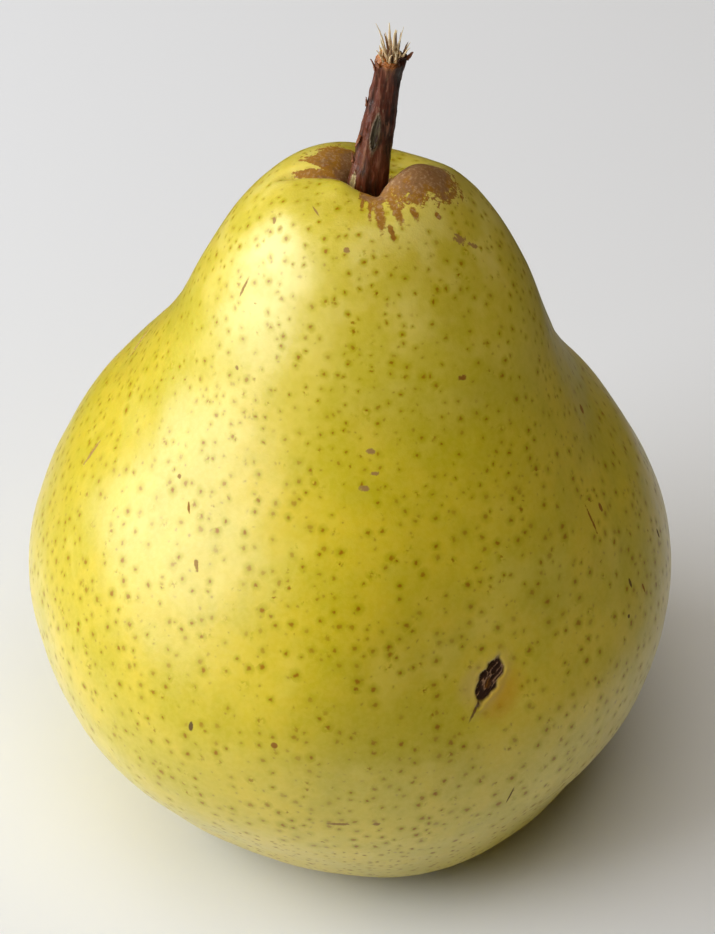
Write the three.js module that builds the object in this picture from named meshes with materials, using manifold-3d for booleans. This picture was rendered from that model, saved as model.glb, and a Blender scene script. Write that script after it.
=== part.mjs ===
// A ripe dessert pear, as picked, standing upright on its calyx end: the fruit, its woody stalk with the
// torn fibres left by picking, and the dried flower remains in the basin underneath (five sepals and the
// tuft of stamens). Millimetres, +Z up. The origin is on the resting plane, under the middle of the belly.
import * as THREE from "three";
import { mergeVertices } from "three/addons/utils/BufferGeometryUtils.js";
import Module from "manifold-3d";

const wasm = await Module();
wasm.setup();

// ---------------------------------------------------------------- driving dimensions

const HEIGHT = 91; // of the fruit, without its stalk
const BELLY_RADIUS = 42;
const AROUND = 72; // facets round the fruit
const STEPS = 3; // facets between one point of its outline and the next
const FIT_GAP = 0.3; // between pieces that touch

// Half the fruit's outline, as [radius, height], from the basin round the calyx, over the resting rim,
// the belly, the shoulder and the neck, to the crown and down into the pit that holds the stalk.
const OUTLINE = [
  [0, 5.6],
  [3.9, 5.3],
  [7.4, 2.9],
  [10.4, 0.5],
  [14, -0.45],
  [19.5, 0.2],
  [29.4, 2.3],
  [35.4, 9],
  [41.2, 20],
  [BELLY_RADIUS, 33.5],
  [36.8, 47],
  [29.3, 58],
  [24.1, 67],
  [20.3, 76],
  [15.8, 84],
  [11.4, 88.8],
  [7.2, 90.6],
  [4, 90],
  [2.9, 87.2],
  [2.6, 84],
  [0, 83.2],
];

// The middle of each level leans off the origin, as [height, x]: the rim and the neck stand a little to
// the right (+X) of the belly.
const DRIFT = [
  [0, 2.2],
  [18, 0.3],
  [36, 0.2],
  [54, 0.6],
  [72, 1.7],
  [HEIGHT, 1.7],
];

const BREADTH = 0.006; // share by which the fruit is broader from side to side than round

// Five shallow ribs run from the calyx up the lower flank, as on any pear.
const RIBS = { count: 5, depth: 0.017, azimuth: -52, fadeHeight: 32 };

// Local swellings (rise above 0) and hollows (below 0) of the skin: a centre on the skin, how far the skin
// stands off there, and the reach over which that fades.
const SWELLINGS = [
  { name: "back-left shoulder", at: [-29, 20, 56], rise: 1.0, reach: 11 },
  { name: "front-left shoulder", at: [-22, -20, 62], rise: 0.5, reach: 10 },
  { name: "right shoulder", at: [30, 4, 58], rise: -0.8, reach: 11 },
  { name: "front-right neck", at: [16.4, -16.4, 72], rise: 1.4, reach: 9 },
  { name: "front-right shoulder", at: [21, -21, 58], rise: 2.0, reach: 9 },
  { name: "front shoulder", at: [2.6, -29, 58], rise: 1.5, reach: 9 },
  { name: "front belly", at: [-3.4, -38.8, 42], rise: 1.4, reach: 9 },
  { name: "front-right belly", at: [16.6, -35.5, 42], rise: -1.5, reach: 9 },
  { name: "right waist", at: [31.6, -22, 44], rise: -0.7, reach: 9 },
  { name: "left flank", at: [-34, -12, 22], rise: -1.6, reach: 12 },
  { name: "right flank", at: [34, -8, 24], rise: -1.4, reach: 12 },
  { name: "front-left foot", at: [-15, -32, 8], rise: -1.3, reach: 10 },
  { name: "front foot", at: [6, -34, 8], rise: 0.8, reach: 9 },
  { name: "right foot", at: [27, -23, 9], rise: -1.6, reach: 10 },
];

// The stalk's pit stands off the neck's middle: its offset, and the radii between which that fades out.
const PIT = { offset: [0.7, 0.3], centre: [2.4, 0.3], inner: 2.5, outer: 8 };

// The crown's lobes only lift or lower the skin: a centre seen from above, a rise and a reach.
const CROWN_LOBES = [
  { name: "back-left lobe", at: [-3, 6.5], rise: 0.3, reach: 4 },
  { name: "right lobe", at: [8.4, -1.5], rise: 2.6, reach: 3.2 },
  { name: "back-right saddle", at: [5.5, 7], rise: -3.0, reach: 3.6 },
  { name: "front-left lip", at: [-1, -2.4], rise: 1.3, reach: 2.2 },
];

// Creases run out from the pit between the lobes: depth, half width, and where along it each runs.
const CROWN_CREASES = [
  { azimuth: 172, depth: 1.4, halfWidth: 0.9, from: 1, to: 11 },
  { azimuth: -84, depth: 0.4, halfWidth: 1.0, from: 1.5, to: 5 },
  { azimuth: 40, depth: 0.6, halfWidth: 1.8, from: 2, to: 8 },
];
const CROWN_FROM = 70; // the lobes begin at this height
const CROWN_FULL = 86; // and have their full depth from here up

const STALK = {
  foot: new THREE.Vector3(1.07, 0.15, 80), // sunk in the flesh under the pit
  lean: new THREE.Vector3(0.143, 0.015, 1), // its way up
  bow: new THREE.Vector3(-0.15, 0.2, 0), // how far its middle stands off the straight line
  length: 27.9,
};

// ---------------------------------------------------------------- shapes

const radians = (degrees) => (degrees * Math.PI) / 180;

// A smooth function through a few [place, value] pairs.
function smoothFunction(pairs) {
  const curve = new THREE.SplineCurve(pairs.map(([place, value]) => new THREE.Vector2(place, value)));
  const points = curve.getPoints(200);
  const last = points.length - 1;
  return (place) => {
    const next = points.findIndex((point) => point.x >= place);
    if (next <= 0) return points[next === 0 ? 0 : last].y;
    const [low, high] = [points[next - 1], points[next]];
    return THREE.MathUtils.mapLinear(place, low.x, high.x, low.y, high.y);
  };
}

const driftAt = smoothFunction(DRIFT);

const bell = (distance, reach) => Math.exp(-((distance / reach) ** 2) / 2);

// How deep the crown's creases are at a point seen from above.
function creaseDepth(x, y) {
  let depth = 0;
  for (const crease of CROWN_CREASES) {
    const angle = radians(crease.azimuth);
    const [dx, dy] = [x - PIT.centre[0], y - PIT.centre[1]];
    const along = dx * Math.cos(angle) + dy * Math.sin(angle);
    const across = dy * Math.cos(angle) - dx * Math.sin(angle);
    const opens = THREE.MathUtils.smoothstep(along, crease.from - 1, crease.from + 1);
    const closes = 1 - THREE.MathUtils.smoothstep(along, crease.to - 2.5, crease.to + 1);
    depth += crease.depth * opens * closes * Math.exp(-((across / crease.halfWidth) ** 2));
  }
  return depth;
}

// Where a point of the turned fruit lies on the real, uneven one.
function shapeSkin(point, outward) {
  const height = Math.max(point.z, 0);
  const azimuth = Math.atan2(point.y, point.x);
  const onCrown = THREE.MathUtils.smoothstep(height, CROWN_FROM, CROWN_FULL);
  const ribFade = Math.max(0, 1 - height / RIBS.fadeHeight) ** 1.5;
  const rib = 1 + RIBS.depth * ribFade * Math.cos(RIBS.count * (azimuth - radians(RIBS.azimuth)));
  const radius = Math.hypot(point.x, point.y);
  const inPit = onCrown * (1 - THREE.MathUtils.smoothstep(radius, PIT.inner, PIT.outer));
  const x = point.x * rib * (1 + BREADTH) + driftAt(height) + inPit * PIT.offset[0];
  const y = point.y * rib * (1 - BREADTH) + inPit * PIT.offset[1];
  const shaped = new THREE.Vector3(x, y, point.z);
  const moved = shaped.clone();
  for (const { at, rise, reach } of SWELLINGS) {
    moved.addScaledVector(outward, rise * bell(shaped.distanceTo(new THREE.Vector3(...at)), reach));
  }
  for (const { at, rise, reach } of CROWN_LOBES) {
    moved.z += onCrown * rise * bell(Math.hypot(x - at[0], y - at[1]), reach);
  }
  moved.z = Math.max(moved.z - onCrown * creaseDepth(x, y), 0); // flat where it rests
  return moved;
}

// Turns a profile about Z, then moves each vertex as shape(point, outward normal) says.
function turned(profile, around, shape) {
  const lathe = new THREE.LatheGeometry(profile, around);
  lathe.rotateX(Math.PI / 2);
  lathe.deleteAttribute("uv");
  const geometry = mergeVertices(lathe, 1e-3); // one column of vertices at the seam
  const position = geometry.attributes.position;
  const normal = geometry.attributes.normal;
  for (let i = 0; i < position.count; i++) {
    const point = new THREE.Vector3().fromBufferAttribute(position, i);
    const outward = new THREE.Vector3().fromBufferAttribute(normal, i);
    if (Math.hypot(point.x, point.y) < 1e-6) outward.set(0, 0, Math.sign(outward.z)); // on the axis
    const moved = shape(point, outward);
    position.setXYZ(i, moved.x, moved.y, moved.z);
  }
  return closed(geometry);
}

// The geometry with one vertex at each place and no sliver faces, as a closed mesh needs.
function closed(geometry) {
  const bare = geometry.clone();
  for (const name of Object.keys(bare.attributes)) {
    if (name !== "position") bare.deleteAttribute(name);
  }
  const merged = mergeVertices(bare, 1e-3);
  const index = merged.index.array;
  const kept = [];
  for (let i = 0; i < index.length; i += 3) {
    const [a, b, c] = index.subarray(i, i + 3);
    if (a !== b && b !== c && c !== a) kept.push(a, b, c);
  }
  merged.setIndex(kept);
  return merged;
}

function solidOf(geometry) {
  const merged = closed(geometry);
  return new wasm.Manifold(
    new wasm.Mesh({
      numProp: 3,
      vertProperties: merged.attributes.position.array,
      triVerts: new Uint32Array(merged.index.array),
    }),
  );
}

function geometryOf(solid) {
  const mesh = solid.getMesh();
  const geometry = new THREE.BufferGeometry();
  geometry.setAttribute("position", new THREE.BufferAttribute(mesh.vertProperties, mesh.numProp));
  geometry.setIndex(new THREE.BufferAttribute(mesh.triVerts, 1));
  return geometry;
}

// A round rod along a line: radiusAt(share of its length) is its radius, placeAt(share) its centre.
function rod(radiusAt, placeAt, steps, around) {
  const shares = Array.from({ length: steps + 1 }, (_, i) => i / steps);
  const rim = shares.map((share) => new THREE.Vector2(radiusAt(share), share));
  const profile = [new THREE.Vector2(0, 0), ...rim, new THREE.Vector2(0, 1)];
  return turned(profile, around, (point) => {
    const share = THREE.MathUtils.clamp(point.z, 0, 1);
    return placeAt(share).add(new THREE.Vector3(point.x, point.y, 0));
  });
}

// ---------------------------------------------------------------- fruit

function fruit() {
  const outline = new THREE.SplineCurve(OUTLINE.map(([radius, height]) => new THREE.Vector2(radius, height)));
  const profile = outline.getPoints(STEPS * (OUTLINE.length - 1));
  return turned(profile, AROUND, shapeSkin);
}

// ---------------------------------------------------------------- stalk

// A point on the middle line of the stalk, at a share of its length from its foot.
function stalkLine(share) {
  const along = STALK.lean.clone().multiplyScalar(STALK.length * share);
  const bow = STALK.bow.clone().multiplyScalar(Math.sin(Math.PI * share));
  return STALK.foot.clone().add(along).add(bow);
}

// Thick where it grows out of the flesh, slim above its middle, and flared at the torn end.
const stalkRadius = smoothFunction([
  [0, 1.9],
  [0.12, 2.2],
  [0.37, 2.42],
  [0.5, 2.17],
  [0.64, 2.0],
  [0.78, 1.7],
  [0.91, 1.62],
  [1, 2.1],
]);

// Fibres that pull out of the break when the pear is picked: where they stand on it, which way they splay
// and how long they are.
const FIBRES = [
  { from: [-0.9, -0.3], splay: [-0.35, 0.0], length: 5.2 },
  { from: [-0.1, -0.2], splay: [0.02, 0.05], length: 5.6 },
  { from: [0.5, 0.1], splay: [0.22, -0.05], length: 4.4 },
  { from: [0.1, 0.7], splay: [0.05, 0.3], length: 3.4 },
  { from: [0.3, -0.8], splay: [0.1, -0.3], length: 2.6 },
];
const FIBRE_RADIUS = 0.28;
const FIBRE_ROOT = 1.2; // how deep each fibre starts in the wood

function stalk() {
  let solid = solidOf(rod(stalkRadius, stalkLine, 18, 20));
  const end = stalkLine(1);
  for (const { from, splay, length } of FIBRES) {
    const start = end.clone().add(new THREE.Vector3(from[0], from[1], -FIBRE_ROOT));
    const reach = new THREE.Vector3(splay[0], splay[1], 1).multiplyScalar(length + FIBRE_ROOT);
    const taper = (share) => FIBRE_RADIUS * (1 - 0.75 * share);
    const place = (share) => start.clone().addScaledVector(reach, share);
    solid = solid.add(solidOf(rod(taper, place, 3, 6)));
  }
  return geometryOf(solid);
}

// The hole that the stalk leaves in the flesh: the stalk itself, fatter by the gap.
function stalkSocket() {
  const radius = (share) => stalkRadius(share) + FIT_GAP;
  const place = (share) => stalkLine(share).add(new THREE.Vector3(0, 0, -FIT_GAP));
  return solidOf(rod(radius, place, 18, 20));
}

// ---------------------------------------------------------------- calyx

const BASIN_X = DRIFT[0][1]; // the basin stands under the rim, not under the belly
const SEPAL = { count: 5, length: 4.1, width: 2.9, thickness: 0.45, ring: 2.9, top: 5.0, curl: 0.16 };

// One dried sepal: a pointed blade that hangs from the basin's floor and curls outwards.
function sepal(number) {
  const half = SEPAL.width / 2;
  const blade = new THREE.Shape();
  blade.moveTo(-half, 0);
  blade.quadraticCurveTo(-half * 1.1, SEPAL.length * 0.5, 0, SEPAL.length);
  blade.quadraticCurveTo(half * 1.1, SEPAL.length * 0.5, half, 0);
  blade.closePath();
  const geometry = new THREE.ExtrudeGeometry(blade, {
    depth: SEPAL.thickness,
    curveSegments: 6,
    bevelEnabled: false,
  });
  const position = geometry.attributes.position;
  for (let i = 0; i < position.count; i++) {
    const down = position.getY(i);
    const cup = 0.12 * position.getX(i) ** 2; // hollow across its width
    const out = SEPAL.ring + position.getZ(i) + SEPAL.curl * down ** 2 * 0.55 - cup;
    position.setXYZ(i, out, position.getX(i), SEPAL.top - down);
  }
  geometry.rotateZ(radians(RIBS.azimuth + (360 / SEPAL.count) * number));
  geometry.translate(BASIN_X, 0, 0);
  return solidOf(geometry).volume() < 0 ? flipped(geometry) : closed(geometry);
}

// The same surface with its faces turned the other way.
function flipped(geometry) {
  const merged = closed(geometry);
  const index = merged.index.array;
  for (let i = 0; i < index.length; i += 3) [index[i + 1], index[i + 2]] = [index[i + 2], index[i + 1]];
  return merged;
}

const TUFT = { threads: 8, ring: 1.15, radius: 0.2, length: 2.6, disc: 1.7, top: 5.25 };

// The withered stamens: a small disc on the basin's floor with a ring of short threads.
function stamens() {
  const middle = new THREE.Vector3(BASIN_X, 0, TUFT.top);
  const disc = rod(
    () => TUFT.disc,
    (share) => middle.clone().add(new THREE.Vector3(0, 0, -0.5 * (1 - share))),
    1,
    16,
  );
  let solid = solidOf(disc);
  for (let i = 0; i < TUFT.threads; i++) {
    const angle = (2 * Math.PI * i) / TUFT.threads;
    const side = new THREE.Vector3(Math.cos(angle), Math.sin(angle), 0);
    const length = TUFT.length * (0.8 + 0.2 * Math.cos(3 * angle));
    const place = (share) => {
      const down = length * (1 - share);
      const drop = new THREE.Vector3(0, 0, -down - 0.2);
      return middle.clone().addScaledVector(side, TUFT.ring + 0.12 * down).add(drop);
    };
    solid = solid.add(solidOf(rod((share) => TUFT.radius * (0.7 + 0.3 * share), place, 2, 6)));
  }
  return geometryOf(solid);
}

// ---------------------------------------------------------------- assembly

function piece(name, geometry, color, roughness) {
  const material = new THREE.MeshStandardMaterial({ color, roughness, metalness: 0 });
  const mesh = new THREE.Mesh(geometry, material);
  mesh.name = name;
  return mesh;
}

const pear = new THREE.Group();
pear.add(piece("fruit", geometryOf(solidOf(fruit()).subtract(stalkSocket())), 0xc9b92e, 0.42));
pear.add(piece("stalk", stalk(), 0x5a2a14, 0.5));
for (let i = 0; i < SEPAL.count; i++) pear.add(piece(`sepal_${i + 1}`, sepal(i), 0x3b2a1c, 0.85));
pear.add(piece("stamens", stamens(), 0x2e2016, 0.9));

export default pear;
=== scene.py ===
"""A ripe dessert pear standing on its calyx end: uneven yellow-green skin with pores, russet and a scar,
a woody stalk torn at its end, and the dried sepals and stamens in the basin underneath.

Lengths are in millimetres up to new_piece(), which makes them metres. +Z is up, and the side with the
scar faces -Y.
"""

import math

import bmesh
import bpy
import numpy as np
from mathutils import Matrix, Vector, noise


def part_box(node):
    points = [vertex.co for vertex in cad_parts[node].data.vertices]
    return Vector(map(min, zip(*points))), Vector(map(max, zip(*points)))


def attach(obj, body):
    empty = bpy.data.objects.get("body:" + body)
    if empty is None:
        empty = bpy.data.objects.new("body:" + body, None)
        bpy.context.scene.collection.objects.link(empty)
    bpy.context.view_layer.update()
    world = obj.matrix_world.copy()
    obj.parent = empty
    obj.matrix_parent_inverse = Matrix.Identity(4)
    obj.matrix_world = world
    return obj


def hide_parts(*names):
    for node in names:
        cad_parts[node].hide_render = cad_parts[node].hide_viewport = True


MM = 0.001

# ------------------------------------------------------------------ the fruit's shape

HEIGHT = 91.0
STALK_PIT_FLOOR = 79.6

# Half the outline, as radius and height: calyx basin, resting rim, belly, shoulder, neck, crown, pit.
OUTLINE = [
    (0, 5.6),
    (3.9, 5.3),
    (7.4, 2.9),
    (10.4, 0.5),
    (14, -0.45),
    (19.5, 0.2),
    (29.4, 2.3),
    (35.4, 9),
    (41.2, 20),
    (42, 33.5),
    (36.8, 47),
    (29.3, 58),
    (24.1, 67),
    (20.3, 76),
    (15.8, 84),
    (11.4, 88.8),
    (7.2, 90.6),
    (4, 90),
    (2.9, 87.2),
    (2.6, 84),
    (2.3, 80.3),
    (0, STALK_PIT_FLOOR),
]
ROWS_PER_SPAN = 11
COLUMNS = 288

# The middle of each level leans off the origin: height, x.
DRIFT = [(0, 2.2), (18, 0.3), (36, 0.2), (54, 0.6), (72, 1.7), (HEIGHT, 1.7)]
BREADTH = 0.006  # broader from side to side than round, as a share

RIB_COUNT = 5
RIB_DEPTH = 0.017
RIB_AZIMUTH = -52
RIB_FADE_HEIGHT = 32

# Swellings and hollows of the skin: centre, rise, reach.
SWELLINGS = {
    "back-left shoulder": ((-29, 20, 56), 1.0, 11),
    "front-left shoulder": ((-22, -20, 62), 0.5, 10),
    "right shoulder": ((30, 4, 58), -0.8, 11),
    "front-right neck": ((16.4, -16.4, 72), 1.4, 9),
    "front-right shoulder": ((21, -21, 58), 2.0, 9),
    "front shoulder": ((2.6, -29, 58), 1.5, 9),
    "front belly": ((-3.4, -38.8, 42), 1.4, 9),
    "front-right belly": ((16.6, -35.5, 42), -1.5, 9),
    "right waist": ((31.6, -22, 44), -0.7, 9),
    "left flank": ((-34, -12, 22), -1.6, 12),
    "right flank": ((34, -8, 24), -1.4, 12),
    "front-left foot": ((-15, -32, 8), -1.3, 10),
    "front foot": ((6, -34, 8), 0.8, 9),
    "right foot": ((27, -23, 9), -1.6, 10),
}

PIT_OFFSET = (0.7, 0.3)
PIT_CENTRE = (2.4, 0.3)
PIT_INNER = 2.5
PIT_OUTER = 8

# Lobes of the crown, which lift or lower the skin: centre seen from above, rise, reach.
CROWN_LOBES = {
    "back-left lobe": ((-3, 6.5), 0.3, 4),
    "right lobe": ((8.4, -1.5), 2.6, 3.2),
    "back-right saddle": ((5.5, 7), -3.0, 3.6),
    "front-left lip": ((-0.4, -2.3), 1.6, 1.9),
    "front-right lip": ((5.0, -2.3), 0.7, 1.6),
}

# Creases that run out from the pit: azimuth, depth, half width, from, to.
CROWN_CREASES = [(172, 1.4, 0.9, 1, 11), (-76, 1.5, 0.75, 1.2, 5), (40, 0.6, 1.8, 2, 8)]
CROWN_FROM = 70
CROWN_FULL = 86

# ------------------------------------------------------------------ the stalk's shape

STALK_FOOT = np.array((1.07, 0.15, 80.0))
STALK_LEAN = np.array((0.143, 0.015, 1.0))
STALK_BOW = np.array((-0.15, 0.2, 0.0))
STALK_LENGTH = 27.9
STALK_RADII = [
    (0, 1.9),
    (0.12, 2.2),
    (0.37, 2.42),
    (0.5, 2.17),
    (0.64, 2.0),
    (0.78, 1.7),
    (0.91, 1.62),
    (1, 2.1),
]
SOCKET_GAP = 0.2

# ------------------------------------------------------------------ small tools for shapes


def spline(points, steps):
    """Points on a smooth curve through the given ones, steps to each span."""
    knots = np.array(points, float)
    last = len(knots) - 1
    place = np.linspace(0, last, steps * last + 1)
    span = np.minimum(place.astype(int), last)
    share = (place - span)[:, None]
    before = knots[np.maximum(span - 1, 0)]
    start = knots[span]
    end = knots[np.minimum(span + 1, last)]
    after = knots[np.minimum(span + 2, last)]
    leave = (end - before) / 2
    arrive = (after - start) / 2
    cubic = 2 * start - 2 * end + leave + arrive
    square = -3 * start + 3 * end - 2 * leave - arrive
    return cubic * share**3 + square * share**2 + leave * share + start


def value_on(pairs, place):
    """A smooth function through a few (place, value) pairs."""
    curve = spline(pairs, 40)
    return np.interp(place, curve[:, 0], curve[:, 1])


def smoothstep(value, low, high):
    share = np.clip((value - low) / (high - low), 0, 1)
    return share * share * (3 - 2 * share)


def bell(distance, reach):
    return np.exp(-((distance / reach) ** 2) / 2)


def rough(points, size, seed):
    """Smooth noise from -1 to 1 at each point, with lumps of about the given size."""
    shift = Vector((seed * 7.3, seed * 3.1, seed * 5.7))
    flat = points.reshape(-1, 3)
    values = [noise.noise(Vector(p) / size + shift) for p in flat]
    return np.array(values).reshape(points.shape[:-1])


def turn_from(angle, azimuth):
    """How far round an angle in radians is from an azimuth in degrees, from -pi to pi."""
    turn = angle - math.radians(azimuth)
    return np.arctan2(np.sin(turn), np.cos(turn))


def new_piece(name, points, faces, body="root"):
    """A smooth-shaded mesh piece from points in millimetres, riding on the pear."""
    mesh = bpy.data.meshes.new(name)
    mesh.from_pydata((np.asarray(points) * MM).tolist(), [], faces)
    mesh.validate()
    mesh.shade_smooth()
    piece = bpy.data.objects.new(name, mesh)
    bpy.context.scene.collection.objects.link(piece)
    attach(piece, body)
    return piece


def tube_faces(rows, columns, first=0):
    """Quads between rings of points, closed round."""
    faces = []
    for row in range(rows - 1):
        for column in range(columns):
            beside = (column + 1) % columns
            low = first + row * columns
            high = low + columns
            faces.append((low + column, low + beside, high + beside, high + column))
    return faces


def closed_tube(rings, bottom, top):
    """Points and faces of a tube of rings, closed by a fan to one point at each end."""
    rows, columns, _ = rings.shape
    points = np.concatenate([rings.reshape(-1, 3), [bottom], [top]])
    faces = tube_faces(rows, columns)
    end = (rows - 1) * columns
    for column in range(columns):
        beside = (column + 1) % columns
        faces.append((beside, column, rows * columns))
        faces.append((end + column, end + beside, rows * columns + 1))
    return points, faces


# ------------------------------------------------------------------ fruit


def stalk_line(share):
    """The stalk's middle line at shares of its length."""
    share = np.asarray(share, float)[..., None]
    return STALK_FOOT + STALK_LEAN * STALK_LENGTH * share + STALK_BOW * np.sin(np.pi * share)


def crease_depth(x, y):
    depth = np.zeros_like(x)
    for azimuth, deep, half, start, end in CROWN_CREASES:
        angle = math.radians(azimuth)
        dx = x - PIT_CENTRE[0]
        dy = y - PIT_CENTRE[1]
        along = dx * math.cos(angle) + dy * math.sin(angle)
        across = dy * math.cos(angle) - dx * math.sin(angle)
        window = smoothstep(along, start - 1, start + 1) * (1 - smoothstep(along, end - 2.5, end + 1))
        depth += deep * window * np.exp(-((across / half) ** 2))
    return depth


def clear_of_stalk(points):
    """Moves the pit's wall sideways until it clears the stalk."""
    share = np.clip((points[..., 2] - STALK_FOOT[2]) / STALK_LENGTH, 0, 1)
    middle = stalk_line(share)
    needed = value_on(STALK_RADII, share) + SOCKET_GAP
    away = points[..., :2] - middle[..., :2]
    distance = np.linalg.norm(away, axis=-1)
    close = (distance < needed) & (points[..., 2] > STALK_PIT_FLOOR + 0.3) & (distance > 1e-6)
    push = np.where(close, needed / np.maximum(distance, 1e-6), 1)
    moved = points.copy()
    moved[..., :2] = middle[..., :2] + away * push[..., None]
    return moved


def fruit_rings():
    """Rings of points on the fruit's skin, from the basin's floor to the bottom of the stalk's socket."""
    profile = spline(OUTLINE, ROWS_PER_SPAN)
    radius = profile[:, 0][:, None]
    height = np.repeat(profile[:, 1][:, None], COLUMNS, 1)
    slope = np.gradient(profile, axis=0)
    slope /= np.linalg.norm(slope, axis=1, keepdims=True)
    azimuth = np.linspace(0, 2 * np.pi, COLUMNS, endpoint=False)[None, :]
    outward = np.stack(
        [
            slope[:, 1:2] * np.cos(azimuth),
            slope[:, 1:2] * np.sin(azimuth),
            np.repeat(-slope[:, 0:1], COLUMNS, 1),
        ],
        axis=-1,
    )
    level = np.maximum(height, 0)
    on_crown = smoothstep(level, CROWN_FROM, CROWN_FULL)
    rib_fade = np.maximum(0, 1 - level / RIB_FADE_HEIGHT) ** 1.5
    rib = 1 + RIB_DEPTH * rib_fade * np.cos(RIB_COUNT * (azimuth - math.radians(RIB_AZIMUTH)))
    in_pit = on_crown * (1 - smoothstep(radius, PIT_INNER, PIT_OUTER))
    x = radius * rib * np.cos(azimuth) * (1 + BREADTH) + value_on(DRIFT, level) + in_pit * PIT_OFFSET[0]
    y = radius * rib * np.sin(azimuth) * (1 - BREADTH) + in_pit * PIT_OFFSET[1]
    shaped = np.stack([x, y, height], axis=-1)
    moved = shaped.copy()
    for centre, rise, reach in SWELLINGS.values():
        distance = np.linalg.norm(shaped - np.array(centre), axis=-1)
        moved += outward * (rise * bell(distance, reach))[..., None]
    for centre, rise, reach in CROWN_LOBES.values():
        moved[..., 2] += on_crown * rise * bell(np.hypot(x - centre[0], y - centre[1]), reach)
    moved[..., 2] -= on_crown * crease_depth(x, y)
    unevenness = 0.16 * rough(shaped, 9, 1) + 0.05 * rough(shaped, 3.5, 2)
    moved += outward * unevenness[..., None]
    moved = clear_of_stalk(moved)
    moved[..., 2] = np.maximum(moved[..., 2], 0)
    return moved


FRUIT_RINGS = fruit_rings()


def skin_point(azimuth, height):
    """The point on the outer skin at an azimuth in degrees about the upright axis, and a height."""
    outer = FRUIT_RINGS[4 * ROWS_PER_SPAN : 16 * ROWS_PER_SPAN].reshape(-1, 3)
    turn = turn_from(np.arctan2(outer[:, 1], outer[:, 0]), azimuth)
    off = np.hypot(turn * np.hypot(outer[:, 0], outer[:, 1]), outer[:, 2] - height)
    return outer[off.argmin()]


def crown_point(azimuth, distance):
    """The point on the crown at an azimuth in degrees and a distance from the pit, seen from above."""
    crown = FRUIT_RINGS[13 * ROWS_PER_SPAN : 18 * ROWS_PER_SPAN].reshape(-1, 3)
    angle = math.radians(azimuth)
    x = PIT_CENTRE[0] + distance * math.cos(angle)
    y = PIT_CENTRE[1] + distance * math.sin(angle)
    return crown[np.hypot(crown[:, 0] - x, crown[:, 1] - y).argmin()]


# The scar: where its ends are, half its width, how deep it is sunk, how high its ridges stand, and how far
# round its middle the skin is divided finely.
SCAR_ENDS = ((-67.2, 38.5), (-61.0, 42.4))
SCAR_HALF_WIDTH = 1.3
SCAR_DEPTH = 0.36
SCAR_RIDGE = 0.3
SCAR_PATCH = 4.4
SCAR_CUTS = 8  # new points on each edge inside the patch
SCAR_SMOOTHING_ROUNDS = 8


def scar_axes():
    """The scar's middle, its long direction, and half its length."""
    low = skin_point(*SCAR_ENDS[0])
    high = skin_point(*SCAR_ENDS[1])
    span = high - low
    length = np.linalg.norm(span)
    return (low + high) / 2, span / length, length / 2


def scar_relief(lengthwise, sideways, half_length):
    """How sore, how ridged and how lifted the skin is at a place in the scar's own directions."""
    wave = noise.noise(Vector((lengthwise * 0.9, sideways * 0.9, 4.2)))
    taper = 1 - 0.35 * max(0.0, -lengthwise / half_length)
    reach = math.hypot(lengthwise / half_length, sideways / (SCAR_HALF_WIDTH * taper)) + 0.32 * wave
    sore = 1 - float(smoothstep(np.array(reach), 0.82, 1.08))
    lines = noise.noise(Vector((lengthwise * 0.55 + 0.6 * wave, sideways * 2.6 + 0.9 * wave, 1.7)))
    grain = noise.noise(Vector((lengthwise * 5.0, sideways * 6.0, 8.1)))
    ridge = 1 - min(1.0, abs(lines) * 3.0)
    lip = bell(reach - 1.25, 0.16)
    lift = 0.07 * lip - sore * (SCAR_DEPTH - SCAR_RIDGE * ridge - 0.06 * grain)
    return sore, ridge + 0.25 * grain, lift


def refine_patch(shaper, middle):
    """Divides the skin finely round a point, smooths it, and returns the points there."""
    reach = SCAR_PATCH * MM
    edges = []
    for edge in shaper.edges:
        place = sum((vertex.co for vertex in edge.verts), Vector()) / 2
        if (place - middle).length < reach:
            edges.append(edge)
    bmesh.ops.subdivide_edges(shaper, edges=edges, cuts=SCAR_CUTS, use_grid_fill=True)
    shaper.normal_update()
    near = [vertex for vertex in shaper.verts if (vertex.co - middle).length < reach]
    axes = {"use_axis_x": True, "use_axis_y": True, "use_axis_z": True}
    for _ in range(SCAR_SMOOTHING_ROUNDS):
        bmesh.ops.smooth_vert(shaper, verts=near, factor=0.5, **axes)
    shaper.normal_update()
    return near


def sink_scar(mesh):
    """Sinks the scar and raises its ridges; keeps how sore and how ridged each point is as attributes."""
    centre, along, half_length = scar_axes()
    shaper = bmesh.new()
    shaper.from_mesh(mesh)
    sore_layer = shaper.verts.layers.float.new("scar")
    ridge_layer = shaper.verts.layers.float.new("scar ridge")
    near = refine_patch(shaper, Vector(centre * MM))
    outward = Vector((centre[0], centre[1], 0)).normalized()
    beside = Vector(along).cross(outward).normalized()
    for vertex in near:
        off = vertex.co / MM - Vector(centre)
        sore, ridge, lift = scar_relief(off.dot(Vector(along)), off.dot(beside), half_length)
        vertex[sore_layer] = sore
        vertex[ridge_layer] = ridge
        vertex.co += vertex.normal * (lift * MM)
    shaper.to_mesh(mesh)
    shaper.free()


def build_fruit():
    rings = FRUIT_RINGS[1:-1]
    points, faces = closed_tube(rings, FRUIT_RINGS[0].mean(0), FRUIT_RINGS[-1].mean(0))
    fruit = new_piece("pear_fruit", points, faces)
    sink_scar(fruit.data)
    fruit.data.shade_smooth()
    return fruit


# ------------------------------------------------------------------ stalk

STALK_ROWS = 300
STALK_COLUMNS = 120
STALK_TORN_FROM = 0.955  # the share of the stalk's length above which its end is torn

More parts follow.
